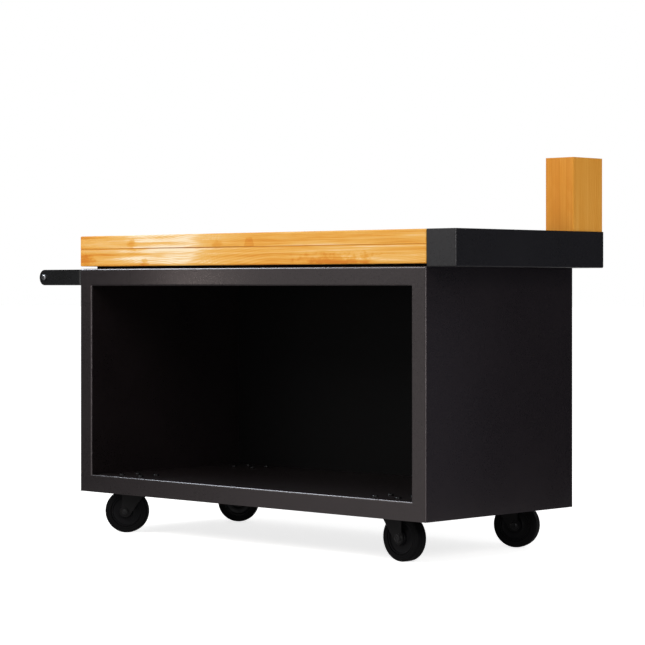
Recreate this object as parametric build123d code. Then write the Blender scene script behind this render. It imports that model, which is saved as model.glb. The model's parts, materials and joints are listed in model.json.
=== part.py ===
from build123d import *
import os
from math import asin, atan2, cos, hypot, sin

# Prep table: an open-fronted sheet-steel cabinet on four swivel casters, with a thick timber worktop over a
# shadow gap, a push handle at the left end, and a side tray with a knife block at the right end.
# Millimetres, +Z up. The layout runs from the cabinet's front lower left corner: X along the front, Y to
# the back. At export everything moves so that the origin is on the floor, under the middle of the whole.

# Cabinet of folded steel sheet
cabinet_length = 1350.0
cabinet_depth = 600.0
cabinet_height = 650.0
frame_width = 50.0       # face of the stiles and rails, and the thickness of the double walls
sheet = 2.0
bend_radius = 5.0        # outside of a fold
back_flange = 16.0       # turned in behind the sides and the deck, for the back panel's screws
panel_gap = 0.5          # round the back panel
back_screw_spacing = 220.0

# Channels that stiffen the niche floor from below
stiffener_width = 40.0
stiffener_depth = 25.0
stiffener_length = 820.0
stiffener_spread = 200.0

# Timber worktop in two glued-up layers
worktop_overhang = 10.0  # past the cabinet's back
shadow_gap = 7.0
lower_board = 50.0
upper_board = 38.0
board_round = 4.0
seam_round = 1.0
spacer_width = 40.0
spacer_count = 3
spacer_inset_x = 30.0    # spacer's end from the cabinet's end
spacer_inset_y = 60.0    # outer spacers' centre lines from the cabinet's front and back
worktop_screw_bite = 32.0
worktop_screw_count = 4  # to each spacer
worktop_screw_inset = 110.0

# Folded side tray
tray_width = 100.0
tray_sheet = 2.0
tray_drop = 2.0          # its floor hangs this far below the cabinet's top
tray_corner = 5.0
tray_screw_count = 4
tray_screw_inset = 60.0
tray_screw_bite = 40.0

# Laminated knife block
slat = 20.0
slat_count = 4
slot = 4.6
block_depth = 127.0
block_height = 292.0
block_strip = 18.0       # spacer strips at the slots' front and back ends
block_toe = 42.0         # spacer strip under the slots
block_gap = 1.0          # to the tray's back wall
block_round = 1.5        # its top edges
block_corner = 2.5       # its upright edges, clear of the tray's corners
block_foot = 2.0         # bevel clear of the tray's bottom bend

# Push handle
handle_reach = 187.0
arm_height = 46.0
arm_sheet = 4.0
arm_bend = 6.0
arm_drop = 2.0           # arm's top edge below the cabinet's top
bar_radius = 12.5
bar_head_height = 6.0
bar_screw_bite = 26.0
handle_bolt_count = 4
handle_bolt_inset = 80.0

# Casters
caster_height = 160.0
caster_inset_x = 175.0   # swivel axis from the cabinet's ends
caster_inset_y = 75.0    # swivel axis from the cabinet's front and back
caster_trail = 35.0
wheel_radius = 62.5
tyre_width = 36.0
tyre_depth = 17.5
tyre_shoulder = 6.0
rim_lip = 3.5
rim_step = 2.0           # rim's face, in from the tyre's side
rim_groove = 1.5         # between the rim's lip and the tyre
groove_depth = 4.0
web_step = 4.5           # web's face, in from the rim's
hub_radius = 19.0
hub_width = 41.0
hub_play = 0.5           # hub to fork leg, each side
fork_sheet = 3.5
fork_bend = 6.0
fork_half = 34.0         # crown, fore and aft of the swivel axis
fork_brow = 12.0         # crown's front edge, down to where the slanted edge starts
fork_heel = 10.0         # leg behind the axle
heel_slope = 20.0        # height of the slope between the crown and the heel
eye_radius = 16.5
plate_length = 105.0
plate_width = 85.0
plate_sheet = 3.5
plate_corner = 9.0
plate_hole_x = 80.0
plate_hole_y = 60.0
dish_depth = 5.5
dish_radius = 26.0
dish_slope = 5.0
dish_lip = 2.5
dish_lip_drop = 5.0
thrust_ring = 8.0        # height of the bearing ring between the dish and the crown
thrust_land = 4.0        # ring's bore, out from the swivel pin
pad_length = 130.0
pad_width = 104.0
pad_sheet = 3.0
# The way each wheel trails from its swivel axis at rest, in degrees from +X towards +Y
caster_headings = {"front_left": 214.8, "front_right": 0.0, "rear_left": 226.1, "rear_right": 20.0}

# Fasteners: shank radius, head radius and head height
m4_shank, m4_head, m4_head_height = 2.0, 4.0, 2.4
m6_shank, m6_head, m6_head_height = 3.0, 6.5, 3.2
m8_shank, m8_head, m8_head_height = 4.0, 8.5, 4.5
m10_shank, m10_head, m10_head_height = 5.0, 9.5, 5.5
m10_flange, m10_flange_height = 13.0, 1.8
m12_shank, m12_head, m12_head_height = 6.0, 11.0, 3.5
m8_nut_flats, m8_nut_height = 13.0, 6.5
m10_nut_flats, m10_nut_height = 17.0, 8.0
m12_nut_flats, m12_nut_height = 18.0, 8.0
thread_end = 2.0         # bolt end past its nut
hole_gap = 0.2           # bolt in a clearance hole
fit_gap = 0.05           # screw in timber, and running fits
end_play = 0.3           # swivel nut below the crown
sleeve_radius = 8.0
bush_radius = 11.0

# Heights and places that follow
board_z = cabinet_height + shadow_gap
seam_z = board_z + lower_board
worktop_z = seam_z + upper_board
worktop_depth = cabinet_depth + worktop_overhang
tray_z = cabinet_height - tray_drop
tray_floor_z = tray_z + tray_sheet
arm_z = cabinet_height - arm_drop - arm_height / 2
bar_x = arm_height / 2 - handle_reach
floor_under_z = frame_width - sheet
caster_seat_z = floor_under_z - pad_sheet
ground_z = caster_seat_z - caster_height
caster_places = {
    "front_left": (caster_inset_x, caster_inset_y),
    "front_right": (cabinet_length - caster_inset_x, caster_inset_y),
    "rear_left": (caster_inset_x, cabinet_depth - caster_inset_y),
    "rear_right": (cabinet_length - caster_inset_x, cabinet_depth - caster_inset_y),
}
middle_x = (cabinet_length + tray_width - handle_reach) / 2
middle_y = (worktop_depth - bar_head_height) / 2
to_origin = Pos(-middle_x, -middle_y, -ground_z)

LEFT, RIGHT, BACK, UP, DOWN = (-1, 0, 0), (1, 0, 0), (0, 1, 0), (0, 0, 1), (0, 0, -1)
FRONT = (0, -1, 0)


def slab(x0, x1, y0, y1, z0, z1):
    return Pos((x0 + x1) / 2, (y0 + y1) / 2, (z0 + z1) / 2) * Box(x1 - x0, y1 - y0, z1 - z0)


def facing(shape, at, towards):
    """Moves a shape made along +Z so that it starts at a point and runs that way."""
    return Plane(at, z_dir=towards).location * shape


def rod(radius, length, at, towards):
    upright = Cylinder(radius, length, align=(Align.CENTER, Align.CENTER, Align.MIN))
    return facing(upright, at, towards)


def drilled(shape, points, towards, radius, depth):
    for point in points:
        shape = shape - rod(radius, depth, point, towards)
    return shape


def turned(points):
    """A solid of revolution about +Z from (radius, height) points."""
    outline = make_face(Polyline(*points, close=True))
    return revolve(Plane.XZ * outline, Axis.Z)


def button_screw(head_radius, head_height, shank_radius, shank_length):
    """Low button head above z = 0 and a plain shank below it."""
    return turned([(0, head_height), (head_radius * 0.6, head_height), (head_radius, head_height * 0.4),
                   (head_radius, 0), (shank_radius, 0), (shank_radius, -shank_length), (0, -shank_length)])


def hexagon(across_flats, height):
    return extrude(RegularPolygon(across_flats / 2, 6, major_radius=False), height)


def hex_nut(across_flats, height, hole_radius):
    """Nut that stands on z = 0."""
    return hexagon(across_flats, height) - Cylinder(hole_radius, 3 * height)


def tube(outer, inner, length):
    return Cylinder(outer, length) - Cylinder(inner, 2 * length)


def spread(first, last, count):
    return [first + (last - first) * i / (count - 1) for i in range(count)]


# Cabinet. Each frame member is a folded channel: outer skin, front face and niche lining, mitred into its
# neighbours at 45 degrees. In a section, across runs from the outer skin to the lining, along from the front.
# The floor has no outer skin: its front face ends square at the bottom, so that the wheels can swing behind it.
def frame_section(outer_skin):
    def area(across0, across1, along0, along1):
        middle = Pos((across0 + across1) / 2, (along0 + along1) / 2)
        return middle * Rectangle(across1 - across0, along1 - along0)

    def rounded_front(area_face, radius):
        return fillet(area_face.vertices().sort_by(Axis.Y)[:2], radius)

    lining_end = cabinet_depth - sheet
    start = 0 if outer_skin else -frame_width
    whole = rounded_front(area(start, frame_width, 0, cabinet_depth), bend_radius)
    hollow = area(start + sheet, frame_width - sheet, sheet, cabinet_depth + sheet)
    section = whole - rounded_front(hollow, bend_radius - sheet)
    section = section - area(frame_width - 2 * sheet, frame_width, lining_end, cabinet_depth)
    if outer_skin:
        return section + area(sheet, sheet + back_flange, lining_end - sheet, lining_end)
    return section - area(start, 0, 0, cabinet_depth)


def front_outline(*corners):
    """A prism through the cabinet's depth, from its corners in the front view."""
    outline = make_face(Polyline(*corners, close=True))
    return extrude(Plane.XZ * outline, 2 * cabinet_depth, both=True)


inner_x = cabinet_length - frame_width
inner_z = cabinet_height - frame_width
side_outline = front_outline((0, 0), (frame_width, frame_width), (frame_width, inner_z), (0, cabinet_height))
top_outline = front_outline((0, cabinet_height), (cabinet_length, cabinet_height),
                            (inner_x, inner_z), (frame_width, inner_z))
floor_outline = front_outline((0, 0), (cabinet_length, 0), (inner_x, frame_width), (frame_width, frame_width))

left_side = extrude(frame_section(True), cabinet_height) & side_outline
right_side = mirror(left_side, Plane.YZ.offset(cabinet_length / 2))
lying = Plane((0, 0, 0), x_dir=UP, z_dir=LEFT)      # across is up, along is to the back
hanging = Plane((0, 0, cabinet_height), x_dir=DOWN, z_dir=RIGHT)
top_panel = extrude(hanging * frame_section(True), cabinet_length) & top_outline
floor_panel = extrude(lying * frame_section(False), -cabinet_length) & floor_outline
back_panel = slab(sheet + panel_gap, cabinet_length - sheet - panel_gap, cabinet_depth - sheet, cabinet_depth,
                  0, cabinet_height - sheet - panel_gap)

# Back panel screws, up both sides and along the deck
flange_mid = sheet + back_flange / 2
side_rows = round((cabinet_height - 2 * frame_width) / back_screw_spacing) + 1
deck_rows = round((cabinet_length - 2 * frame_width) / back_screw_spacing) + 1
left_points = [(flange_mid, cabinet_depth, z) for z in spread(frame_width + back_flange, inner_z, side_rows)]
right_points = [(cabinet_length - x, y, z) for x, y, z in left_points]
deck_points = [(x, cabinet_depth, cabinet_height - flange_mid)
               for x in spread(frame_width + back_flange, inner_x - back_flange, deck_rows)]
screw_reach = 2 * sheet
back_points = left_points + right_points + deck_points
back_screw = button_screw(m4_head, m4_head_height, m4_shank, screw_reach + thread_end)
back_screws = [facing(back_screw, point, BACK) for point in back_points]
left_side = drilled(left_side, left_points, FRONT, m4_shank + fit_gap, 2 * screw_reach)
right_side = drilled(right_side, right_points, FRONT, m4_shank + fit_gap, 2 * screw_reach)
top_panel = drilled(top_panel, deck_points, FRONT, m4_shank + fit_gap, 2 * screw_reach)
back_panel = drilled(back_panel, back_points, FRONT, m4_shank + hole_gap, 2 * sheet)

# Stiffening channels under the floor, open upwards against it
channel = slab(-stiffener_length / 2, stiffener_length / 2, -stiffener_width / 2, stiffener_width / 2,
               -stiffener_depth, 0)
channel = fillet(channel.edges().filter_by(Axis.X).group_by(Axis.Z)[0], bend_radius)
inner = slab(-stiffener_length, stiffener_length, sheet - stiffener_width / 2, stiffener_width / 2 - sheet,
             sheet - stiffener_depth, sheet)
inner = fillet(inner.edges().filter_by(Axis.X).group_by(Axis.Z)[0], bend_radius - sheet)
floor_stiffeners = [Pos(cabinet_length / 2, (cabinet_depth + offset) / 2, floor_under_z) * (channel - inner)
                    for offset in (-stiffener_spread, stiffener_spread)]

# Worktop: spacer bars along the deck, then the two timber layers, screwed from inside the deck
spacer_ys = spread(spacer_inset_y, cabinet_depth - spacer_inset_y, spacer_count)
spacer_left, spacer_right = spacer_inset_x, cabinet_length - spacer_inset_x
screw_xs = spread(spacer_left + worktop_screw_inset, spacer_right - worktop_screw_inset, worktop_screw_count)
worktop_points = [(x, y, cabinet_height - sheet) for y in spacer_ys for x in screw_xs]
worktop_screw_length = sheet + shadow_gap + worktop_screw_bite
worktop_screw = button_screw(m6_head, m6_head_height, m6_shank, worktop_screw_length)
worktop_screws = [facing(worktop_screw, point, DOWN) for point in worktop_points]
top_panel = drilled(top_panel, worktop_points, UP, m6_shank + hole_gap, 2 * sheet)
worktop_spacers = []
for y in spacer_ys:
    bar = slab(spacer_left, spacer_right, y - spacer_width / 2, y + spacer_width / 2, cabinet_height, board_z)
    bar_points = [point for point in worktop_points if point[1] == y]
    worktop_spacers.append(drilled(bar, bar_points, UP, m6_shank + hole_gap, worktop_screw_length))


def timber_layer(low_z, high_z, low_round, high_round):
    board = slab(0, cabinet_length, 0, worktop_depth, low_z, high_z)
    board = fillet(board.edges().filter_by(Axis.Z), board_round)
    board = fillet(board.faces().sort_by(Axis.Z)[-1].edges(), high_round)
    return fillet(board.faces().sort_by(Axis.Z)[0].edges(), low_round)


worktop_lower_board = timber_layer(board_z, seam_z, board_round * 0.75, seam_round)
worktop_upper_board = timber_layer(seam_z, worktop_z, seam_round, board_round * 0.75)
worktop_lower_board = drilled(worktop_lower_board, worktop_points, UP, m6_shank + fit_gap,
                              worktop_screw_length + fit_gap)

# Side tray: a folded pan with rounded corners, screwed to the worktop's end through its inner wall
tray_x0, tray_x1 = cabinet_length, cabinet_length + tray_width


def pan(inset, low_z, high_z, corner):
    body = slab(tray_x0 + inset, tray_x1 - inset, inset, worktop_depth - inset, low_z, high_z)
    body = fillet(body.edges().filter_by(Axis.Z), corner)
    return fillet(body.faces().sort_by(Axis.Z)[0].edges(), corner * 0.8)


side_tray = pan(0, tray_z, worktop_z, tray_corner)
side_tray = side_tray - pan(tray_sheet, tray_floor_z, worktop_z + tray_sheet, tray_corner - tray_sheet)
block_back_y = worktop_depth - tray_sheet - block_gap
block_front_y = block_back_y - block_depth
tray_screw_z = (board_z + seam_z) / 2
tray_points = [(tray_x0 + tray_sheet, y, tray_screw_z)
               for y in spread(tray_screw_inset, block_front_y - tray_screw_inset / 2, tray_screw_count)]
tray_screw = button_screw(m6_head, m6_head_height, m6_shank, tray_sheet + tray_screw_bite)
tray_screws = [facing(tray_screw, point, RIGHT) for point in tray_points]
side_tray = drilled(side_tray, tray_points, LEFT, m6_shank + hole_gap, 2 * tray_sheet)
worktop_lower_board = drilled(worktop_lower_board, tray_points, LEFT, m6_shank + fit_gap,
                              tray_sheet + tray_screw_bite + fit_gap)

# Knife block: upright slats with strips between them that leave slots open at the top
slat_pitch = slat + slot
block_width = slat_count * slat_pitch - slot
block_x0 = (tray_x0 + tray_x1 - block_width) / 2
block_top_z = tray_floor_z + block_height
block = slab(block_x0, block_x0 + block_width, block_front_y, block_back_y, tray_floor_z, block_top_z)
block = fillet(block.faces().sort_by(Axis.Z)[-1].edges(), block_round)
block = chamfer(block.faces().sort_by(Axis.Z)[0].edges(), block_foot)
block_middle = Pos(block_x0 + block_width / 2, (block_front_y + block_back_y) / 2, tray_floor_z)
block = block & block_middle * extrude(RectangleRounded(block_width, block_depth, block_corner), block_height)
strip_front_y = block_front_y + block_strip
strip_back_y = block_back_y - block_strip
toe_z = tray_floor_z + block_toe


def block_piece(x, width, y0, y1, high_z):
    return block & slab(x, x + width, y0, y1, tray_floor_z, high_z)


knife_block_slats = [block_piece(block_x0 + i * slat_pitch, slat, block_front_y, block_back_y, block_top_z)
                     for i in range(slat_count)]
knife_block_spacers = []
for i in range(slat_count - 1):
    x = block_x0 + i * slat_pitch + slat
    knife_block_spacers.append(block_piece(x, slot, block_front_y, strip_front_y, block_top_z))
    knife_block_spacers.append(block_piece(x, slot, strip_back_y, block_back_y, block_top_z))
    knife_block_spacers.append(block_piece(x, slot, strip_front_y, strip_back_y, toe_z))

# Push handle: a flat bar folded to a U with round arm ends, a round bar between the arms
arm_round = arm_height / 2
plan_outer = slab(-handle_reach, 0, 0, cabinet_depth, arm_z - arm_round, arm_z + arm_round)
plan_outer = fillet(plan_outer.edges().filter_by(Axis.Z).group_by(Axis.X)[-1], arm_bend)
plan_inner = slab(-2 * handle_reach, -arm_sheet, arm_sheet, cabinet_depth - arm_sheet,
                  arm_z - arm_height, arm_z + arm_height)
plan_inner = fillet(plan_inner.edges().filter_by(Axis.Z).group_by(Axis.X)[-1], arm_bend - arm_sheet)
arm_side = slab(bar_x, 0, 0, cabinet_depth, arm_z - arm_round, arm_z + arm_round)
arm_side = arm_side + rod(arm_round, cabinet_depth, (bar_x, 0, arm_z), BACK)
handle_bracket = (plan_outer - plan_inner) & arm_side
bar_screw = button_screw(m8_head, bar_head_height, m8_shank, arm_sheet + bar_screw_bite)
handle_bar_screws = [facing(bar_screw, (bar_x, 0, arm_z), FRONT),
                     facing(bar_screw, (bar_x, cabinet_depth, arm_z), BACK)]
handle_bracket = drilled(handle_bracket, [(bar_x, 0, arm_z)], BACK, m8_shank + hole_gap, cabinet_depth)
bar_front = (bar_x, arm_sheet, arm_z)
bar_back = (bar_x, cabinet_depth - arm_sheet, arm_z)
tapped_depth = bar_screw_bite + fit_gap
handle_bar = rod(bar_radius, cabinet_depth - 2 * arm_sheet, bar_front, BACK)
handle_bar = drilled(handle_bar, [bar_front], BACK, m8_shank + fit_gap, tapped_depth)
handle_bar = drilled(handle_bar, [bar_back], FRONT, m8_shank + fit_gap, tapped_depth)
handle_points = [(-arm_sheet, y, arm_z)
                 for y in spread(handle_bolt_inset, cabinet_depth - handle_bolt_inset, handle_bolt_count)]
handle_grip = arm_sheet + sheet
handle_bolt = button_screw(m8_head, m8_head_height, m8_shank, handle_grip + m8_nut_height + thread_end)
handle_bolts = [facing(handle_bolt, point, LEFT) for point in handle_points]
m8_nut = hex_nut(m8_nut_flats, m8_nut_height, m8_shank + fit_gap)
handle_nuts = [facing(m8_nut, (sheet, y, z), RIGHT) for x, y, z in handle_points]
handle_bracket = drilled(handle_bracket, handle_points, RIGHT, m8_shank + hole_gap, arm_sheet)
left_side = drilled(left_side, handle_points, RIGHT, m8_shank + hole_gap, handle_grip + sheet)

# Caster, in its own frame: swivel axis on Z, top of the plate at z = 0, the wheel trailing along +X
dish_z = -plate_sheet - dish_depth
crown_z = dish_z - thrust_ring - 2 * fit_gap
axle_z = wheel_radius - caster_height
leg_gap = hub_width / 2 + hub_play
leg_outer = leg_gap + fork_sheet
nut_z = crown_z - fork_sheet - end_play
plate_points = [(x, y, 0) for x in (-plate_hole_x / 2, plate_hole_x / 2)
                for y in (-plate_hole_y / 2, plate_hole_y / 2)]


def top_plate():
    """Bolted plate, its middle pressed down to a dish whose lip holds the bearing ring."""
    rim = dish_radius + dish_slope + plate_sheet
    body = extrude(RectangleRounded(plate_length, plate_width, plate_corner), -plate_sheet)
    body = body - Cylinder(rim - sheet, 3 * plate_sheet)
    lip_in = dish_radius + dish_lip - plate_sheet
    dish = turned([(m12_shank + fit_gap, -dish_depth), (dish_radius, -dish_depth),
                   (dish_radius + dish_slope, 0), (rim, 0), (rim, -plate_sheet),
                   (dish_radius + dish_slope, -plate_sheet), (dish_radius + dish_lip, dish_z),
                   (dish_radius + dish_lip, dish_z - dish_lip_drop), (lip_in, dish_z - dish_lip_drop),
                   (lip_in, dish_z), (m12_shank + fit_gap, dish_z)])
    return drilled(body + dish, plate_points, DOWN, m8_shank + hole_gap, 2 * plate_sheet)


def kingpin():
    """Swivel pin: a flat head that lies in the plate's dish, and a shank down through the crown."""
    end_z = nut_z - m12_nut_height - thread_end
    return turned([(0, m12_head_height - dish_depth), (m12_head, m12_head_height - dish_depth),
                   (m12_head, -dish_depth), (m12_shank, -dish_depth), (m12_shank, end_z), (0, end_z)])


def bearing_ring():
    outer = dish_radius + dish_lip - plate_sheet - fit_gap
    ring = tube(outer, m12_shank + thrust_land, thrust_ring)
    return Pos(0, 0, dish_z - fit_gap - thrust_ring / 2) * ring


def fork():
    """Pressed yoke: a crown over the wheel and two tapering legs that end in round eyes at the axle."""
    brow = (-fork_half, crown_z - fork_brow)
    eye = (caster_trail, axle_z)
    heel_x = caster_trail + fork_heel
    run = hypot(eye[0] - brow[0], eye[1] - brow[1])
    slant = atan2(eye[1] - brow[1], eye[0] - brow[0]) - asin(eye_radius / run)
    touch = (eye[0] + eye_radius * sin(slant), eye[1] - eye_radius * cos(slant))
    leg = make_face(Polyline((-fork_half, crown_z), (fork_half, crown_z), (heel_x, crown_z - heel_slope),
                             (heel_x, axle_z), eye, touch, brow, close=True))
    leg = leg + Pos(*eye) * Circle(eye_radius)
    side_view = extrude(Plane.XZ * leg, 2 * leg_outer, both=True)
    reach = caster_trail + 2 * fork_half
    low_z = axle_z - 2 * eye_radius
    body = slab(-reach, reach, -leg_outer, leg_outer, low_z, crown_z)
    body = fillet(body.edges().filter_by(Axis.X).group_by(Axis.Z)[-1], fork_bend)
    room = slab(-2 * reach, 2 * reach, -leg_gap, leg_gap, 2 * low_z, crown_z - fork_sheet)
    room = fillet(room.edges().filter_by(Axis.X).group_by(Axis.Z)[-1], fork_bend - fork_sheet)
    body = (body - room) & side_view
    body = body - Cylinder(m12_shank + 2 * fit_gap, -3 * crown_z)
    return drilled(body, [(caster_trail, -2 * leg_outer, axle_z)], BACK, m10_shank + hole_gap, 4 * leg_outer)


def on_axle(shape):
    """Moves a shape made about +Z so that it turns about the axle, its +Z end to the caster's -Y side."""
    return Pos(caster_trail, 0, axle_z) * Rot(90, 0, 0) * shape


def axle_bolt():
    """Round flanged head outside one leg, and a shank through to the nut outside the other."""
    end_z = -2 * leg_outer - m10_nut_height - thread_end
    bolt = turned([(0, m10_head_height), (m10_head * 0.8, m10_head_height), (m10_head, m10_head_height * 0.7),
                   (m10_head, m10_flange_height), (m10_flange, m10_flange_height), (m10_flange, 0),
                   (m10_shank, 0), (m10_shank, end_z), (0, end_z)])
    return on_axle(Pos(0, 0, leg_outer) * bolt)


def axle_nut():
    nut = hex_nut(m10_nut_flats, m10_nut_height, m10_shank + fit_gap)
    return on_axle(Rot(180, 0, 0) * Pos(0, 0, leg_outer) * nut)


def tyre():
    ring = tube(wheel_radius, wheel_radius - tyre_depth, tyre_width)
    tread_edges = ring.edges().filter_by(GeomType.CIRCLE).sort_by(SortBy.RADIUS)[-2:]
    return on_axle(fillet(tread_edges, tyre_shoulder))


def wheel_core():
    """Moulded wheel: a rim under the tyre, a recessed web and a hub that runs out to the fork legs."""
    rim_radius = wheel_radius - tyre_depth
    rim_half = tyre_width / 2 - rim_step
    web_half = rim_half - web_step
    lip_radius = rim_radius - rim_groove
    groove_half = rim_half - groove_depth
    half_outline = [(hub_width / 2, bush_radius), (hub_width / 2, hub_radius),
                    (web_half, hub_radius + rim_step), (web_half, lip_radius - rim_lip - rim_step),
                    (rim_half, lip_radius - rim_lip), (rim_half, lip_radius), (groove_half, lip_radius),
                    (groove_half, rim_radius)]
    upper = [(radius, height) for height, radius in half_outline]
    lower = [(radius, -height) for height, radius in reversed(half_outline)]
    return on_axle(turned(upper + lower))


parts = {
    "left_side": left_side,
    "right_side": right_side,
    "top_panel": top_panel,
    "back_panel": back_panel,
    "back_screws": Compound(back_screws),
    "floor_stiffeners": Compound(floor_stiffeners),
    "worktop_spacers": Compound(worktop_spacers),
    "worktop_lower_board": worktop_lower_board,
    "worktop_upper_board": worktop_upper_board,
    "worktop_screws": Compound(worktop_screws),
    "side_tray": side_tray,
    "tray_screws": Compound(tray_screws),
    "knife_block_slats": Compound(knife_block_slats),
    "knife_block_spacers": Compound(knife_block_spacers),
    "handle_bracket": handle_bracket,
    "handle_bolts": Compound(handle_bolts),
    "handle_nuts": Compound(handle_nuts),
    "handle_bar": handle_bar,
    "handle_bar_screws": Compound(handle_bar_screws),
}

# Fixed caster pieces, one node for all four casters: pads, plates, pins and fasteners
caster_bolt_length = sheet + pad_sheet + plate_sheet + m8_nut_height + thread_end
caster_bolt = button_screw(m8_head, m8_head_height, m8_shank, caster_bolt_length)
m12_nut = hex_nut(m12_nut_flats, m12_nut_height, m12_shank + fit_gap)
fixed = {"caster_pads": [], "caster_top_plates": [], "caster_bolts": [], "caster_nuts": [],
         "caster_kingpins": [], "caster_kingpin_nuts": [], "caster_bearing_rings": []}
for x, y in caster_places.values():
    seat = Pos(x, y, caster_seat_z)
    pad = slab(-pad_length / 2, pad_length / 2, -pad_width / 2, pad_width / 2, 0, pad_sheet)
    fixed["caster_pads"].append(seat * drilled(pad, plate_points, UP, m8_shank + hole_gap, pad_sheet))
    fixed["caster_top_plates"].append(seat * top_plate())
    fixed["caster_kingpins"].append(seat * kingpin())
    fixed["caster_kingpin_nuts"].append(seat * facing(m12_nut, (0, 0, nut_z), DOWN))
    fixed["caster_bearing_rings"].append(seat * bearing_ring())
    for hole_x, hole_y, z in plate_points:
        floor_point = (x + hole_x, y + hole_y, frame_width)
        floor_panel = drilled(floor_panel, [floor_point], DOWN, m8_shank + hole_gap, 2 * sheet)
        fixed["caster_bolts"].append(facing(caster_bolt, floor_point, UP))
        fixed["caster_nuts"].append(seat * facing(m8_nut, (hole_x, hole_y, -plate_sheet), DOWN))
for name, solids in fixed.items():
    parts[name] = Compound(solids)
parts["floor_panel"] = floor_panel

# Moving caster pieces, one node each
moving = {
    "fork": fork(),
    "axle_bolt": axle_bolt(),
    "axle_nut": axle_nut(),
    "axle_sleeve": on_axle(tube(sleeve_radius, m10_shank + fit_gap, 2 * leg_gap)),
    "wheel_core": wheel_core(),
    "wheel_bush": on_axle(tube(bush_radius, sleeve_radius + fit_gap, hub_width)),
    "tyre": tyre(),
}
for caster, (x, y) in caster_places.items():
    for piece, shape in moving.items():
        parts[caster + "_" + piece] = Pos(x, y, caster_seat_z) * Rot(0, 0, caster_headings[caster]) * shape

os.makedirs("parts", exist_ok=True)
for name, shape in parts.items():
    export_step(to_origin * shape, "parts/" + name + ".step")
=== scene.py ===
import json
from math import cos, pi, radians, sin

import bmesh
import bpy
from mathutils import Matrix, Vector


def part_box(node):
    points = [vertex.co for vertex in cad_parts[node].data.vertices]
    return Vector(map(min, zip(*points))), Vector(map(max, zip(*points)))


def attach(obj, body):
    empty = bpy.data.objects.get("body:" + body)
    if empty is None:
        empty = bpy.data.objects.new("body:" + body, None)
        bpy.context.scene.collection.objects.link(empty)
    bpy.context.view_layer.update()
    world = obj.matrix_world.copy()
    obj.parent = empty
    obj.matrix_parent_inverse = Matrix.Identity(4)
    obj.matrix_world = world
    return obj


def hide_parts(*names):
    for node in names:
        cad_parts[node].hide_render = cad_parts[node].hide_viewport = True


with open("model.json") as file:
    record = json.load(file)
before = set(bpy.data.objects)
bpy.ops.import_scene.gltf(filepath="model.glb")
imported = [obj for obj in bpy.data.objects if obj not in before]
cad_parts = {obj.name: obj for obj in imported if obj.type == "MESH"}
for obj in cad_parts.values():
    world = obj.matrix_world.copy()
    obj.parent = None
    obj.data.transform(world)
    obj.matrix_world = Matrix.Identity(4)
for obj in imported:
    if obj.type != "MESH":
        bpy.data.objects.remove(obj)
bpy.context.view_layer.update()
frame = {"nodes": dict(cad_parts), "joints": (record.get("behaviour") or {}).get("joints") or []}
nodes = frame["nodes"]

# The viewpoint: a level camera at the height of the deck, off the front right corner, with a long lens.
# The frame is shifted down so that uprights stay upright.
scene = bpy.context.scene
scene.view_settings.view_transform = "Standard"
lens = bpy.data.cameras.new("viewpoint")
lens.sensor_width = 36.0
lens.lens = 130.48
lens.shift_y = -0.05585
camera = bpy.data.objects.new("viewpoint", lens)
camera.location = (4.636, -4.7422, 0.7134)
camera.rotation_euler = (radians(90), 0, radians(43.954))
scene.collection.objects.link(camera)
scene.camera = camera


class Wire:
    """A shader socket that takes part in sums, and that adds any other node to its tree."""

    def __init__(self, tree, socket=None):
        self.tree = tree
        self.socket = socket

    def node(self, kind, settings, sockets, output=0):
        made = self.tree.nodes.new(kind)
        for key, value in settings.items():
            if key == "stops":
                while len(made.color_ramp.elements) < len(value):
                    made.color_ramp.elements.new(0.5)
                for element, (place, colour) in zip(made.color_ramp.elements, value):
                    element.position = place
                    element.color = colour + (1.0,)
            else:
                setattr(made, key, value)
        for key, value in sockets.items():
            if isinstance(value, Wire):
                self.tree.links.new(value.socket, made.inputs[key])
            else:
                made.inputs[key].default_value = value
        return Wire(self.tree, made.outputs[output])

    def into(self, shader, name):
        self.tree.links.new(self.socket, shader.inputs[name])

    def math(self, operation, first, second=0.0):
        return self.node("ShaderNodeMath", {"operation": operation}, {0: first, 1: second})

    def __add__(self, other):
        return self.math("ADD", self, other)

    def __sub__(self, other):
        return self.math("SUBTRACT", self, other)

    def __rsub__(self, other):
        return self.math("SUBTRACT", other, self)

    def __mul__(self, other):
        return self.math("MULTIPLY", self, other)

    def __truediv__(self, other):
        return self.math("DIVIDE", self, other)

    __radd__ = __add__
    __rmul__ = __mul__


# The studio: a white floor without an edge in a white surround. Both look full white to the lens and light
# the table at a plain level. In reflections the surround stays white and the floor is dim.
world = bpy.data.worlds.new("surround")
scene.world = world
world.use_nodes = True
sky = Wire(world.node_tree)
seen = sky.node("ShaderNodeLightPath", {}, {}, "Is Camera Ray")
mirrored = sky.node("ShaderNodeLightPath", {}, {}, "Is Glossy Ray")
through = sky.node("ShaderNodeLightPath", {}, {}, "Is Transmission Ray")
shown = sky.math("MAXIMUM", sky.math("MAXIMUM", seen, mirrored), through)
surround = world.node_tree.nodes["Background"]
surround.inputs["Color"].default_value = (1.0, 1.0, 1.0, 1.0)
fill = 0.42
(fill + (1.0 - fill) * shown).into(surround, "Strength")

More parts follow.
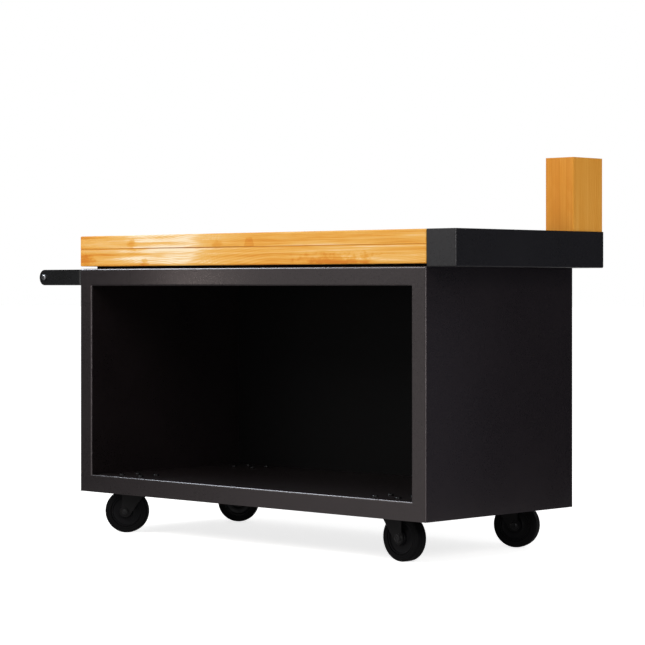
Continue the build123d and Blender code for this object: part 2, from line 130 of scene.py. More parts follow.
floor_mesh = bpy.data.meshes.new("floor")
floor_reach = 60.0
floor_corners = [(x, y, 0.0) for x, y in ((-floor_reach, -floor_reach), (floor_reach, -floor_reach),
                                          (floor_reach, floor_reach), (-floor_reach, floor_reach))]
floor_mesh.from_pydata(floor_corners, [], [(0, 1, 2, 3)])
floor = bpy.data.objects.new("floor", floor_mesh)
scene.collection.objects.link(floor)
floor_paint = bpy.data.materials.new("floor")
floor_paint.use_nodes = True
paint = Wire(floor_paint.node_tree)
floor_shader = floor_paint.node_tree.nodes["Principled BSDF"]
floor_shader.inputs["Base Color"].default_value = (0.8, 0.8, 0.8, 1.0)
floor_shader.inputs["Roughness"].default_value = 0.9
floor_shader.inputs["Specular IOR Level"].default_value = 0.1
floor_shader.inputs["Emission Strength"].default_value = 0.78
lit = paint.node("ShaderNodeLightPath", {}, {}, "Is Camera Ray")
glossy = paint.node("ShaderNodeLightPath", {}, {}, "Is Glossy Ray")
clear = paint.node("ShaderNodeLightPath", {}, {}, "Is Transmission Ray")
mirrored_share = 0.1
lift = paint.math("MAXIMUM", paint.math("MAXIMUM", lit, mirrored_share * glossy), clear)
floor_glow = paint.node("ShaderNodeCombineColor", {}, {"Red": lift, "Green": lift, "Blue": lift})
floor_glow.into(floor_shader, "Emission Color")
floor_mesh.materials.append(floor_paint)


# The lamps: a broad soft one high at the front left, a weak one overhead and a broad one at the right. Three
# more are seen only in reflections: a small one for the sheen on the top rail, and two for glints on the
# folded edges.
def soft_light(name, place, aim, width, height, power, colour, lights_all=True):
    """A rectangular lamp that faces aim. One that doesn't light all is seen only in reflections."""
    lamp = bpy.data.lights.new(name, "AREA")
    lamp.shape = "RECTANGLE"
    lamp.size = width
    lamp.size_y = height
    lamp.energy = power
    lamp.color = colour
    holder = bpy.data.objects.new(name, lamp)
    holder.location = place
    holder.rotation_euler = (Vector(aim) - Vector(place)).to_track_quat("-Z", "Y").to_euler()
    holder.visible_diffuse = lights_all
    scene.collection.objects.link(holder)


soft_light("front_left_light", place=(-1.6, -3.8, 3.2), aim=(0.0, -0.1, 0.6), width=3.0, height=2.4,
           power=113.0, colour=(1.0, 0.98, 0.94))
soft_light("overhead_light", place=(0.2, -0.4, 3.6), aim=(0.1, 0.0, 0.6), width=3.0, height=2.0,
           power=12.0, colour=(0.95, 0.97, 1.0))
soft_light("right_light", place=(4.9, -2.5, 2.7), aim=(0.5, 0.0, 0.6), width=2.2, height=1.6,
           power=100.0, colour=(1.0, 0.99, 0.98))
soft_light("rail_sheen", place=(-0.8, -0.92, 0.73), aim=(-0.2, -0.3, 0.75), width=0.12, height=0.1,
           power=0.27, colour=(1.0, 0.91, 0.86), lights_all=False)
soft_light("deck_edge_glint", place=(-2.3, -0.8, 2.5), aim=(-0.4, -0.3, 0.76), width=1.6, height=1.0,
           power=115.0, colour=(0.8, 0.9, 1.0), lights_all=False)
soft_light("upright_glint", place=(5.3, -4.0, 0.42), aim=(0.4, 0.0, 0.42), width=2.4, height=0.8,
           power=75.0, colour=(0.98, 0.98, 1.0), lights_all=False)


# Four dark cards, seen only in reflections: a black one round the right end, which keeps that end deep black,
# a greyer one near it, which lifts the front half of the end, one off the front left, which lets the frame
# fade towards the handle, and one on the floor before the table.
def dark_card(name, near, start, end, height, glow):
    """A card that stands from start to end and lies along the floor as far as the near points."""
    mesh = bpy.data.meshes.new(name)
    above_floor = 0.01
    flat = [spot + (above_floor,) for spot in near + (end, start)]
    mesh.from_pydata(flat + [end + (height,), start + (height,)], [], [(0, 1, 2, 3), (3, 2, 4, 5)])
    card = bpy.data.objects.new(name, mesh)
    scene.collection.objects.link(card)
    felt = bpy.data.materials.new(name)
    felt.use_nodes = True
    shader = felt.node_tree.nodes["Principled BSDF"]
    shader.inputs["Base Color"].default_value = (0.02, 0.02, 0.02, 1.0)
    shader.inputs["Emission Color"].default_value = glow + (1.0,)
    shader.inputs["Emission Strength"].default_value = 1.0
    mesh.materials.append(felt)
    card.visible_camera = False
    card.visible_diffuse = False
    card.visible_shadow = False


dark_card("right_card", near=((1.2, -0.8), (1.0, 1.6)),
          start=(4.4, -2.4), end=(0.8, 5.0), height=5.0, glow=(0.015, 0.015, 0.03))
dark_card("right_near_card", near=((1.3, -0.35), (1.3, 0.7)),
          start=(1.45, -0.35), end=(1.45, 0.7), height=0.68, glow=(0.18, 0.185, 0.24))
dark_card("left_card", near=((-0.9, -0.85), (-1.2, 0.5)),
          start=(-1.11, -1.31), end=(-2.76, 0.56), height=1.45, glow=(0.15, 0.15, 0.155))
dark_card("front_card", near=((0.75, -0.42), (-0.9, -0.42)),
          start=(-1.2, -1.3), end=(0.3, -1.3), height=0.02, glow=(0.3, 0.29, 0.29))


# The cabinet: double-walled sides, deck and floor folded from 2 mm steel sheet, welded at the mitres and
# ground flush, in satin black powder coat with a fine grain. The back panel is screwed on and matt black.
def new_finish(name, specular=0.5, tint=(1.0, 1.0, 1.0), metallic=0.0):
    """A new material, a wire to build its nodes with, and its shader."""
    material = bpy.data.materials.new(name)
    material.use_nodes = True
    shader = material.node_tree.nodes["Principled BSDF"]
    shader.inputs["Specular IOR Level"].default_value = specular
    shader.inputs["Specular Tint"].default_value = tint + (1.0,)
    shader.inputs["Metallic"].default_value = metallic
    return material, Wire(material.node_tree), shader


def mixed(wire, factor, first, second, blend="MIX"):
    """A colour between two colours, or one laid over the other."""
    first = first if isinstance(first, Wire) else first + (1.0,)
    second = second if isinstance(second, Wire) else second + (1.0,)
    settings = {"data_type": "RGBA", "blend_type": blend}
    return wire.node("ShaderNodeMix", settings, {0: factor, 6: first, 7: second}, 2)


def noise(wire, vector, scale, detail=2.0, roughness=0.5):
    sockets = {"Vector": vector, "Scale": scale, "Detail": detail, "Roughness": roughness}
    return wire.node("ShaderNodeTexNoise", {}, sockets, "Fac")


def between(wire, value, low, high):
    """0 below low, 1 above high, smooth in between."""
    sockets = {"Value": value, "From Min": low, "From Max": high}
    return wire.node("ShaderNodeMapRange", {"interpolation_type": "SMOOTHSTEP"}, sockets)


def powder_coat(name, dark, light, roughness, specular, tint=(1.0, 1.0, 1.0)):
    """Satin paint, mottled between two colours, with a fine grain."""
    material, wire, shader = new_finish(name, specular, tint)
    place = wire.node("ShaderNodeTexCoord", {}, {}, "Object")
    grain = noise(wire, place, 900.0, 2.0, 0.6)
    mottle = noise(wire, place, 260.0, 3.0, 0.6)
    cloud = noise(wire, place, 3.5, 3.0, 0.55)
    mixed(wire, 0.65 * mottle + 0.35 * cloud, dark, light).into(shader, "Base Color")
    (roughness + 0.24 * (mottle - 0.5) + 0.1 * (cloud - 0.5)).into(shader, "Roughness")
    sockets = {"Strength": 0.35, "Distance": 0.0001, "Height": grain + 0.8 * mottle}
    wire.node("ShaderNodeBump", {}, sockets, "Normal").into(shader, "Normal")
    return material


def dress(material, *names):
    """Shows nodes of the frame in a material."""
    for name in names:
        mesh = nodes[name].data
        mesh.materials.clear()
        mesh.materials.append(material)


# Its reflections are tinted warm, a painted warm cast on the light that it reflects.
cabinet_coat = powder_coat("cabinet_powder_coat", (0.0005, 0.0005, 0.0005), (0.0138, 0.0098, 0.0108),
                           roughness=0.31, specular=0.55, tint=(1.0, 0.885, 0.895))
dress(cabinet_coat, "left_side", "right_side", "top_panel", "floor_panel", "floor_stiffeners")
matt_coat = powder_coat("matt_black_coat", (0.002, 0.002, 0.0022), (0.005, 0.0048, 0.005),
                        roughness=0.55, specular=0.07)
dress(matt_coat, "back_panel")


# The back panel's screws: zinc-plated button heads with a hexagon socket, driven through the panel into the
# flanges behind the sides and the deck. Each is made over the place of its plain solid.
def solids_of(name):
    """The separate solids of a node, each as a list of its points."""
    mesh = nodes[name].data
    points = [tuple(round(part, 5) for part in vertex.co) for vertex in mesh.vertices]
    group = {point: point for point in points}

    def leader(point):
        while group[point] != point:
            point = group[point]
        return point

    for edge in mesh.edges:
        first, second = (leader(points[end]) for end in edge.vertices)
        group[first] = second
    found = {}
    for point in group:
        found.setdefault(leader(point), []).append(Vector(point))
    return list(found.values())


def seat(points, outward):
    """A fastener's place, with its outer end's middle as origin and +Z outward, and its length."""
    up = Vector(outward).normalized()
    side = up.orthogonal().normalized()
    axes = (side, up.cross(side), up)
    spans = []
    for axis in axes:
        reaches = [spot.dot(axis) for spot in points]
        spans.append((min(reaches), max(reaches)))
    inner, outer = spans[2]
    middle = sum((axis * (low + high) / 2 for axis, (low, high) in zip(axes[:2], spans)), Vector())
    place = Matrix(axes).transposed().to_4x4()
    place.translation = up * outer + middle
    return place, outer - inner


def ring(radius, height, count=24):
    """A circle of points about Z."""
    turns = [2 * pi * step / count for step in range(count)]
    return [Vector((radius * cos(turn), radius * sin(turn), height)) for turn in turns]


def hex_ring(flats, height, limit=1.0, count=24):
    """A hexagon's outline, its corners cut back to a circle of the limit's radius."""
    spots = []
    for step in range(count):
        turn = 2 * pi * step / count
        reach = min(flats / 2 / cos(turn % (pi / 3) - pi / 6), limit)
        spots.append(Vector((reach * cos(turn), reach * sin(turn), height)))
    return spots


def skin(rings, loop=False):
    """Points and faces over rings listed from below, up the outside and in over the top."""
    count = len(rings[0])
    points = [spot for one in rings for spot in one]
    rows = [(row, (row + 1) % len(rings)) for row in range(len(rings) if loop else len(rings) - 1)]
    faces = []
    for low, high in rows:
        for step in range(count):
            after = (step + 1) % count
            faces.append((low * count + step, low * count + after, high * count + after, high * count + step))
    if not loop:
        faces += [tuple(reversed(range(count))), tuple(range(len(points) - count, len(points)))]
    return points, faces


crease = radians(32)


def fit_piece(name, points, faces, material, slot, body, *replaced):
    """Adds a mesh that moves with a body and is shown in place of the nodes it replaces."""
    mesh = bpy.data.meshes.new(name)
    mesh.from_pydata(points, [], faces)
    mesh.materials.append(material)
    mesh.shade_smooth()
    mesh.set_sharp_from_angle(angle=crease)
    made = bpy.data.objects.new(name, mesh)
    scene.collection.objects.link(made)
    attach(made, body)
    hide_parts(*replaced)
    return made


def fit_fasteners(name, outward, make, material, slot, body="table"):
    """Makes every solid of a node afresh, as one piece that stands for the node.

    outward is the way the heads face, or a function that gives it from a solid's points.
    """
    points, faces = [], []
    for solid in solids_of(name):
        place, length = seat(solid, outward(solid) if callable(outward) else outward)
        spots, panels = make(length)
        faces += [tuple(corner + len(points) for corner in panel) for panel in panels]
        points += [place @ spot for spot in spots]
    return fit_piece(name + "_made", points, faces, material, slot, body, name)


def button_screw(shank, head, height, flats):
    """A maker of button-headed screws with a hexagon socket, their tops at z = 0."""
    def make(length):
        lifts = [pi / 2 * step / 5 for step in range(6)]
        dome = [ring(head * (0.58 + 0.42 * cos(lift)), height * (0.62 * sin(lift) - 0.62)) for lift in lifts]
        return skin([ring(0.75 * shank, -length), ring(shank, 0.3 * shank - length), ring(shank, -height),
                     ring(0.97 * head, -height), ring(head, -0.9 * height)] + dome
                    + [hex_ring(flats, -0.02 * height), hex_ring(flats, -0.6 * height),
                       ring(0.3 * flats, -0.65 * height)])
    return make


def plated(name, colour, roughness):
    """Bare or plated steel, a little clouded."""
    material, wire, shader = new_finish(name, metallic=1.0)
    place = wire.node("ShaderNodeTexCoord", {}, {}, "Object")
    cloud = noise(wire, place, 60.0, 3.0, 0.6)
    fine = noise(wire, place, 700.0, 2.0)
    mixed(wire, cloud, tuple(0.75 * part for part in colour), colour).into(shader, "Base Color")
    (roughness + 0.2 * (cloud - 0.5) + 0.1 * (fine - 0.5)).into(shader, "Roughness")
    sockets = {"Strength": 0.2, "Distance": 0.0001, "Height": fine}
    wire.node("ShaderNodeBump", {}, sockets, "Normal").into(shader, "Normal")
    return material


zinc = plated("zinc_plate", (0.62, 0.63, 0.65), roughness=0.34)
small_screw = button_screw(shank=0.002, head=0.004, height=0.0024, flats=0.0025)
fit_fasteners("back_screws", (0, 1, 0), small_screw, zinc, "fastener_steel")


# The casters' fixed pieces: black-painted plates bolted up under the niche floor through welded pads, with
# blackened bolts whose heads stand on the niche floor. The swivel pins, rings and nuts are zinc-plated.
def hex_nut(flats, bore):
    """A maker of nuts with their corners rounded off at both ends."""
    rounded = 0.485 * flats

    def make(length):
        bevel = 0.12 * length
        return skin([ring(bore, -length), hex_ring(flats, -length, rounded), hex_ring(flats, bevel - length),
                     hex_ring(flats, -bevel), hex_ring(flats, 0.0, rounded), ring(bore, 0.0)], loop=True)
    return make


fork_paint = powder_coat("fork_paint", (0.006, 0.0057, 0.006), (0.012, 0.0114, 0.012),
                         roughness=0.4, specular=0.06)
black_oxide = powder_coat("black_oxide", (0.004, 0.004, 0.0045), (0.008, 0.008, 0.0085),
                          roughness=0.34, specular=0.18)
dress(cabinet_coat, "caster_pads")
dress(fork_paint, "caster_top_plates")
dress(zinc, "caster_kingpins", "caster_bearing_rings")
large_bolt = button_screw(shank=0.004, head=0.0085, height=0.0045, flats=0.005)
large_nut = hex_nut(flats=0.013, bore=0.00405)
kingpin_nut = hex_nut(flats=0.018, bore=0.00605)
fit_fasteners("caster_bolts", (0, 0, 1), large_bolt, black_oxide, "black_fasteners")
fit_fasteners("caster_nuts", (0, 0, -1), large_nut, zinc, "fastener_steel")
fit_fasteners("caster_kingpin_nuts", (0, 0, -1), kingpin_nut, zinc, "fastener_steel")


# The casters' forks and axles: pressed yokes painted black, and a blackened axle bolt through each wheel,
# with a round flanged head outside one leg and a nut on the threaded end outside the other.
def axle_bolt(length):
    """A bolt with a few turns of thread at its end and a round dished head, whose top is at z = 0."""
    shank, head, flange, top = 0.005, 0.0095, 0.013, 0.0055
    crest, root, pitch, turns = 0.0006, 0.0013, 0.0015, 4
    ledge = 0.0018 - top
    thread = []
    for turn in range(turns):
        thread.append(ring(shank, crest + turn * pitch - length))
        thread.append(ring(0.88 * shank, root + turn * pitch - length))
    stem = [ring(shank, crest + turns * pitch - length), ring(shank, -top)]
    collar = [ring(flange - 0.0004, -top), ring(flange, 0.0005 - top), ring(flange, ledge - 0.0006),
              ring(flange - 0.0005, ledge), ring(head + 0.0003, ledge)]
    cap = [ring(head, ledge + 0.0003), ring(head, -0.0016), ring(head - 0.0005, -0.0006),
           ring(head - 0.0016, 0.0)]
    dish = [ring(0.62 * head, 0.0), ring(0.55 * head, -0.0011), ring(0.1 * head, -0.0014)]
    return skin([ring(0.8 * shank, -length)] + thread + stem + collar + cap + dish)


axle_black = powder_coat("axle_black", (0.006, 0.0058, 0.0062), (0.012, 0.0115, 0.0125),
                         roughness=0.26, specular=0.14)
axle_nut = hex_nut(flats=0.017, bore=0.00505)
corners = ("front_left", "front_right", "rear_left", "rear_right")
wheel_joints = {joint["name"]: joint for joint in frame["joints"]}
for corner in corners:
    axis = Vector(wheel_joints[corner + "_wheel"]["axis"])
    swivel = corner + "_swivel"
    dress(fork_paint, corner + "_fork")
    dress(zinc, corner + "_axle_sleeve")
    fit_fasteners(corner + "_axle_bolt", -axis, axle_bolt, axle_black, "black_fasteners", swivel)
    fit_fasteners(corner + "_axle_nut", axis, axle_nut, black_oxide, "black_fasteners", swivel)


# The wheels: black nylon cores moulded with a hub, a recessed web and a rim, each under a black rubber tyre
# with rounded shoulders and a fine mould line round its tread. Each runs on a bush over the axle's sleeve.
def moulded(name, dark, light, roughness, dust, specular):
    """Nylon or rubber between two colours, scuffed and a little dusty."""
    material, wire, shader = new_finish(name, specular=specular)
    place = wire.node("ShaderNodeTexCoord", {}, {}, "Object")
    fine = noise(wire, place, 800.0, 2.0)
    scuff = between(wire, noise(wire, place, 45.0, 4.0, 0.65), 0.5, 0.75)
    colour = mixed(wire, fine, dark, light)
    mixed(wire, dust * scuff, colour, (0.05, 0.045, 0.04)).into(shader, "Base Color")
    (roughness + 0.12 * (fine - 0.5) + 0.15 * scuff).into(shader, "Roughness")
    sockets = {"Strength": 0.25, "Distance": 0.00015, "Height": fine}
    wire.node("ShaderNodeBump", {}, sockets, "Normal").into(shader, "Normal")
    return material


def lathed(half_section, count=96):
    """Points and faces turned about Z from half a section: (radius, height) from the middle outside up."""
    lower = [(radius, -height) for radius, height in reversed(half_section)]
    return skin([ring(radius, height, count) for radius, height in lower + list(half_section)], loop=True)


tread, tyre_half, tyre_bore, shoulder, mould_line = 0.0625, 0.018, 0.045, 0.006, 0.0003
crown = tread - mould_line
groove_floor = tyre_half - 0.0005
shoulder_curve = []
for step in range(9):
    bend = pi / 2 * step / 8
    shoulder_curve.append((crown - shoulder * (1 - cos(bend)), tyre_half - shoulder * (1 - sin(bend))))
tyre_section = ([(tread, 0.0002), (crown, 0.0007), (crown, 0.006)] + shoulder_curve
                + [(0.0532, tyre_half), (0.0526, groove_floor), (0.0512, groove_floor), (0.0506, tyre_half),
                   (tyre_bore + 0.0008, tyre_half), (tyre_bore, tyre_half - 0.0008)])
rim_half, web_half, hub_half, hub_radius, bush_radius = 0.016, 0.0115, 0.0205, 0.019, 0.011
tyre_seat = [(tyre_bore, 0.001), (tyre_bore, 0.0122), (0.0445, 0.012), (0.0438, 0.0121), (0.0435, 0.0126)]
rim_curve = [(0.0435, 0.0152), (0.0432, 0.0158), (0.0426, rim_half), (0.0408, rim_half), (0.0402, 0.0158),
             (0.0398, 0.0153)]
web_curve = [(0.0392, 0.0128), (0.0386, 0.0119), (0.0376, web_half), (0.0228, web_half), (0.0212, 0.0119),
             (0.0202, 0.0129)]
hub_curve = [(0.0194, 0.0186), (hub_radius - 0.0004, 0.0199), (hub_radius - 0.0012, hub_half),
             (bush_radius + 0.0006, hub_half), (bush_radius, hub_half - 0.0006)]
core_section = tyre_seat + rim_curve + web_curve + hub_curve
nylon = moulded("black_nylon", (0.0028, 0.0027, 0.0033), (0.0056, 0.0054, 0.0062),
                roughness=0.36, dust=0.05, specular=0.055)
rubber = moulded("black_rubber", (0.0022, 0.0021, 0.0025), (0.0044, 0.0042, 0.0046),
                 roughness=0.6, dust=0.05, specular=0.045)
for corner in corners:
    joint = wheel_joints[corner + "_wheel"]
    turned = Vector((0, 0, 1)).rotation_difference(Vector(joint["axis"])).to_matrix().to_4x4()
    place = Matrix.Translation(joint["pos_m"]) @ turned
    body = corner + "_wheel"
    for node, section, material, slot in ((body + "_core", core_section, nylon, "wheel_plastic"),
                                          (corner + "_tyre", tyre_section, rubber, "tyre_rubber")):
        points, faces = lathed(section)
        fit_piece(node + "_made", [place @ spot for spot in points], faces, material, slot, body, node)
    dress(nylon, corner + "_wheel_bush")


# The worktop: two layers of honey-coloured hardwood on spacer bars, each glued up from staves that run the
# table's length, sanded, oiled and eased along every edge. A thin brown glue line shows between the layers.
def timber(name, turn, start, stave, seam, corner_low, tones, rings_per_metre, pale=(), ripple=None, marks=(),
           swell=None):
    """Solid timber in staves, with a glue line at the seam.

    turn says which of x, y, z runs along, across and through the grain. The rest sets the front stave's
    figure: paler zones, a stretch of ripple, darker marks, and a stretch over which its rings rise.
    """
    material, wire, shader = new_finish(name, specular=0.1)

    # Staves, each with a number of its own in either layer, and chances drawn from it
    upper_layer, stave_step = 31.0, 3.7
    place = wire.node("ShaderNodeTexCoord", {}, {}, "Object")
    along, across, deep = (wire.node("ShaderNodeSeparateXYZ", {}, {"Vector": place}, axis) for axis in turn)
    count = (across - start) / stave
    number = wire.math("FLOOR", count)
    front = wire.math("LESS_THAN", wire.math("ABSOLUTE", number), 0.5)
    ticket = number + upper_layer * wire.math("GREATER_THAN", deep, seam)
    chance = wire.node("ShaderNodeTexWhiteNoise", {"noise_dimensions": "1D"}, {"W": ticket}, "Color")
    first, second, third = (wire.node("ShaderNodeSeparateColor", {}, {"Color": chance}, channel)
                            for channel in ("Red", "Green", "Blue"))

    def field(along_scale, across_scale, detail, shift):
        """Noise drawn out along the grain, other in each stave."""
        sockets = {"X": along * along_scale + ticket * stave_step + shift,
                   "Y": across * across_scale,
                   "Z": deep * across_scale}
        vector = wire.node("ShaderNodeCombineXYZ", {}, sockets)
        return noise(wire, vector, 1.0, detail, 0.55)

    # Growth rings about a pith that wanders below each stave
    drift_across = field(1.6, 2.0, 2.0, 0.0) - 0.5
    drift_deep = field(2.4, 2.5, 1.0, 9.0) - 0.5
    from_pith_across = across + 0.08 * drift_across - start - stave * (number + 0.2 + 0.6 * first)
    lift = deep - seam
    if swell:
        bulge = between(wire, along, *swell[0]) * (1.0 - between(wire, along, *swell[1]))
        lift = lift / (1.0 + 0.45 * front * bulge)
    from_pith_deep = lift + 0.11 * drift_deep + 0.11 + 0.09 * second
    radius = wire.math("SQRT", from_pith_across * from_pith_across + from_pith_deep * from_pith_deep)
    wobble = field(4.0, 40.0, 2.0, 4.0)
    phase = wire.math("FRACT", radius * rings_per_metre + 0.7 * wobble)
    late_wood = between(wire, phase, 0.15, 0.8) * (1.0 - between(wire, phase, 0.8, 1.0))

    # The tone, from 0 for the darkest wood to 1 for the palest
    plain = between(wire, field(2.2, 12.0, 2.0, 15.0), 0.35, 0.65)
    fibre = field(9.0, 620.0, 3.0, 2.0)
    streak = field(2.2, 120.0, 3.0, 6.0)
    patch = field(3.2, 14.0, 3.0, 12.0)
    pores = between(wire, field(55.0, 1500.0, 1.0, 7.0), 0.63, 0.72)
    tone = (0.5 + 0.75 * (patch - 0.5) + 1.15 * (streak - 0.5) + 0.8 * (fibre - 0.5)
            - (0.06 + 0.15 * plain) * late_wood + 0.1 * (third - 0.5))
    shifted = along - 1.5 * (1.0 - front) * (first - 0.5) + 0.3 * (patch - 0.5) + 0.3 * (streak - 0.5)
    # Paler zones, strongest along the front edge of the front stave: partly the wood's own tone, partly
    # painted sheen.
    pale_and_sheen_reach = 0.25 + 0.75 * front * (1.0 - between(wire, count, 0.02, 0.4))
    for rise, fall, weight in pale:
        zone = between(wire, shifted, *rise) * (1.0 - between(wire, shifted, *fall))
        tone = tone + weight * pale_and_sheen_reach * zone
    smudge = field(40.0, 70.0, 3.0, 21.0)
    if ripple:
        left, right = ripple
        fade, wavelength = 0.03, 0.013
        curled = between(wire, along, left, left + fade) * (1.0 - between(wire, along, right - fade, right))
        wave = wire.math("SINE", along * (2 * pi / wavelength) + 14.0 * wobble + 30.0 * smudge + 40.0 * deep)
        tone = tone + 0.05 * front * curled * wave * between(wire, patch + 0.5 * (streak - 0.5), 0.32, 0.55)
    for middle_along, middle_deep, half_along, half_deep, depth, blur in marks:
        off_along = (along - middle_along) / half_along
        off_deep = (deep - middle_deep) / half_deep
        if blur < 0.5:
            narrowed = wire.math("ABSOLUTE", off_along / (1.0 - 0.25 * off_deep))
            far = wire.math("MAXIMUM", narrowed, wire.math("ABSOLUTE", off_deep))
        else:
            far = wire.math("SQRT", off_along * off_along + off_deep * off_deep)
        far = far + blur * (2.6 * (smudge - 0.5) + 1.6 * (streak - 0.5))
        tone = tone - depth * front * (1.0 - between(wire, far, 1.0 - 0.85 * blur, 1.0 + 0.3 * blur))
    near_end, low = (corner_low["XYZ".index(axis)] for axis in (turn[0], turn[2]))
    by_foot = 1.0 - between(wire, deep, low, low + 0.01)
    by_end = 1.0 - between(wire, along, near_end, near_end + 0.022)
    warm = wire.math("MAXIMUM", by_foot, 0.3 * by_end)
    # A painted highlight: a paler band just below the seam, where the lower board's eased top edge would
    # catch the light.
    painted_highlight_band = between(wire, deep, seam - 0.008, seam - 0.0045)
    painted_highlight_band = painted_highlight_band * (1.0 - between(wire, deep, seam - 0.0045, seam - 0.0025))
    tone = tone - 0.3 * warm + 0.2 * painted_highlight_band
    colour = wire.node("ShaderNodeValToRGB", {"stops": tones}, {"Fac": tone}, "Color")
    colour = mixed(wire, 0.3 * pores, colour, tones[1][1])

    # Glue lines: one at the seam, darkest left of the middle, and fainter ones between the staves
    darkest = -0.16
    edge = wire.math("ABSOLUTE", deep - seam)
    shade = between(wire, wire.math("ABSOLUTE", along - darkest), 0.08, 0.36)
    glue_line = 1.0 - between(wire, edge, 0.0006, 0.0022 - 0.0004 * shade)
    joint = glue_line * (0.85 - 0.1 * shade + 0.6 * (streak - 0.5))
    gap = wire.math("ABSOLUTE", wire.math("FRACT", count + 0.5) - 0.5)
    glued = (1.0 - between(wire, gap, 0.0005 / stave, 0.0012 / stave)) * between(wire, count, 0.01, 0.02)
    joint = wire.math("MAXIMUM", joint, 0.5 * glued)
    glue_colour = mixed(wire, shade, (0.33, 0.09, 0.004), (0.54, 0.18, 0.005))
    colour = mixed(wire, joint, colour, glue_colour)

    # End grain is darker and rougher
    face = wire.node("ShaderNodeNewGeometry", {}, {}, "Normal")
    end = wire.math("ABSOLUTE", wire.node("ShaderNodeSeparateXYZ", {}, {"Vector": face}, turn[0]))
    end_grain = between(wire, end, 0.85, 0.98)
    mixed(wire, 0.55 * end_grain, colour, (0.62, 0.5, 0.4), "MULTIPLY").into(shader, "Base Color")
    (0.6 + 0.14 * (fibre - 0.5) + 0.1 * late_wood + 0.15 * end_grain + 0.1 * pores).into(shader, "Roughness")
    sockets = {"Strength": 0.25, "Distance": 0.0003, "Height": fibre - 0.5 * pores + 0.3 * late_wood - joint}
    wire.node("ShaderNodeBump", {}, sockets, "Normal").into(shader, "Normal")
    return material


def ease_board(name, corner_round, upper_round, lower_round, material):
    """Makes a board's node afresh, with its corners, its upper edges and its lower edges rounded over."""
    low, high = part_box(name)
    shape = bmesh.new()
    bmesh.ops.create_cube(shape, size=1.0)
    for corner in shape.verts:
        corner.co = (low + high) / 2 + corner.co * (high - low)
    upright = [edge for edge in shape.edges if abs(edge.verts[0].co.z - edge.verts[1].co.z) > corner_round]
    bmesh.ops.bevel(shape, geom=upright, offset=corner_round, segments=4, profile=0.5, affect="EDGES")
    for level, radius in ((high.z, upper_round), (low.z, lower_round)):
        rim = [edge for edge in shape.edges if all(abs(end.co.z - level) < 1e-5 for end in edge.verts)]
        bmesh.ops.bevel(shape, geom=rim, offset=radius, segments=4, profile=0.5, affect="EDGES")
    shape.verts.index_update()
    points = [corner.co.copy() for corner in shape.verts]
    faces = [tuple(corner.index for corner in panel.verts) for panel in shape.faces]
    shape.free()
    mesh = fit_piece(name + "_made", points, faces, material, "worktop_timber", "table", name).data
    broad = [Vector() for point in points]
    for panel in mesh.polygons:
        for corner in panel.vertices:
            broad[corner] += panel.area * panel.normal
    mesh.normals_split_custom_set_from_vertices([heading.normalized() for heading in broad])


lower_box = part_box("worktop_lower_board")
honey = ((0.0, (0.62, 0.2, 0.017)), (0.25, (0.71, 0.295, 0.034)), (0.5, (0.775, 0.392, 0.074)),
         (0.75, (0.82, 0.49, 0.158)), (1.0, (0.93, 0.76, 0.52)))
# Darker marks in the front stave: the middle along and up, half the length and height, depth and blur.
honey_marks = ((-0.404, 0.832, 0.022, 0.016, 0.3, 1.0), (0.077, 0.834, 0.017, 0.0125, 0.2, 0.2),
               (-0.6, 0.79, 0.035, 0.014, 0.35, 1.0), (0.41, 0.786, 0.14, 0.017, 0.46, 1.0),
               (-0.35, 0.781, 0.016, 0.012, 0.3, 1.0), (-0.05, 0.83, 0.02, 0.012, 0.22, 1.0))
# Paler zones of the front stave: where each comes in, where it goes out, and how much paler it is.
# The paler zones are partly the wood's own tone and partly painted sheen.
honey_pale = (((-0.72, -0.4), (-0.16, 0.15), 0.24), ((-0.44, -0.27), (-0.19, -0.12), 0.3),
              ((0.2, 0.5), (0.9, 1.2), 0.13))
worktop_stave = 0.122
worktop_timber = timber("worktop_timber", ("X", "Y", "Z"), lower_box[0].y, worktop_stave, lower_box[1].z,
                        lower_box[0], honey, rings_per_metre=260.0, pale=honey_pale, ripple=(-0.13, -0.02),
                        marks=honey_marks, swell=((-0.36, -0.06), (-0.06, 0.6)))
upright_round, outer_round, seam_round = 0.004, 0.003, 0.001
ease_board("worktop_lower_board", upright_round, seam_round, outer_round, worktop_timber)
ease_board("worktop_upper_board", upright_round, outer_round, seam_round, worktop_timber)
dress(matt_coat, "worktop_spacers")
wood_screw = button_screw(shank=0.003, head=0.0065, height=0.0032, flats=0.004)
fit_fasteners("worktop_screws", (0, 0, -1), wood_screw, zinc, "fastener_steel")
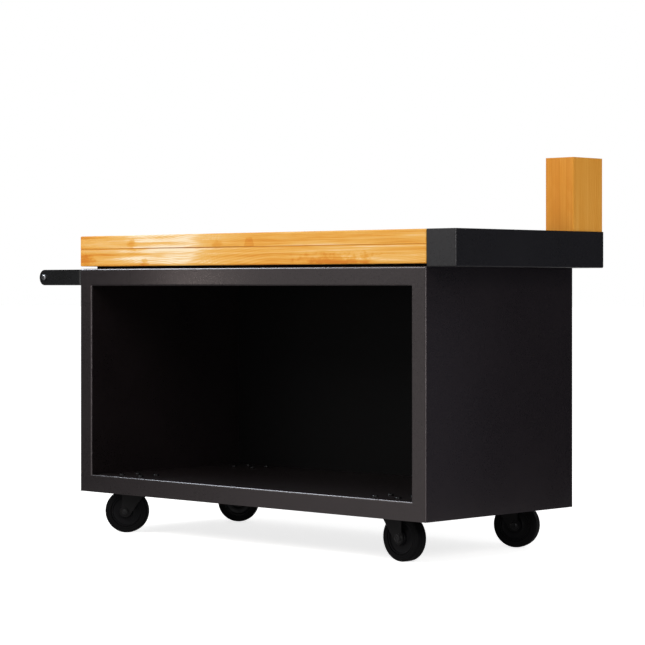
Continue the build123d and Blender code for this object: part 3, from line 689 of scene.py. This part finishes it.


# The side tray: a folded pan of the same coated sheet, screwed to the worktop's end from inside.
# Its floor hangs level with the deck and its rim is level with the worktop.
# Painted shade and cool reflection: the tray's coat, apart from the cabinet's, is bluer and less shiny.
tray_coat = powder_coat("tray_powder_coat", (0.004, 0.004, 0.0045), (0.0145, 0.0142, 0.0165),
                        roughness=0.31, specular=0.34, tint=(1.0, 0.97, 0.98))
dress(tray_coat, "side_tray")
fit_fasteners("tray_screws", (1, 0, 0), wood_screw, zinc, "fastener_steel")


# The knife block: four upright slats glued over thin strips, which leave three slots open at the top.
# It is the same timber with its grain upright, and it stands loose in the tray.
block_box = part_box("knife_block_slats")
amber = ((0.0, (0.64, 0.25, 0.027)), (0.25, (0.675, 0.282, 0.034)), (0.5, (0.705, 0.312, 0.044)),
         (0.75, (0.735, 0.345, 0.058)), (1.0, (0.775, 0.395, 0.085)))
# A stave is a slat with half a slot at each side. The block has no layers, so its seam is put outside it.
slat_pitch, half_slot = 0.0246, 0.0023
seam_outside = block_box[0].y - 1.0
block_timber = timber("block_timber", ("Z", "X", "Y"), block_box[0].x - half_slot, slat_pitch, seam_outside,
                      block_box[0], amber, rings_per_metre=150.0)
dress(block_timber, "knife_block_slats", "knife_block_spacers")


# The push handle: a flat steel bar folded to a U and bolted to the left side, with a round bar between its
# arms. Both are powder-coated black. Blackened bolts hold the bracket, and stainless screws hold the bar.
def away_from_middle(points):
    """The way that a bar screw's head faces, out of the arm that it goes through."""
    return (0, -1, 0) if points[0].y < 0 else (0, 1, 0)


# Painted shade: the handle's coat is darker than the cabinet's, so the handle renders darker than the frame.
handle_coat = powder_coat("handle_powder_coat", (0.001, 0.001, 0.001), (0.006, 0.006, 0.0065),
                          roughness=0.29, specular=0.34)
stainless = plated("stainless_steel", (0.26, 0.26, 0.27), roughness=0.32)
dress(handle_coat, "handle_bracket", "handle_bar")
fit_fasteners("handle_bolts", (-1, 0, 0), large_bolt, black_oxide, "black_fasteners")
fit_fasteners("handle_nuts", (1, 0, 0), large_nut, zinc, "fastener_steel")
bar_screw = button_screw(shank=0.004, head=0.0085, height=0.006, flats=0.005)
fit_fasteners("handle_bar_screws", away_from_middle, bar_screw, stainless, "fastener_steel")
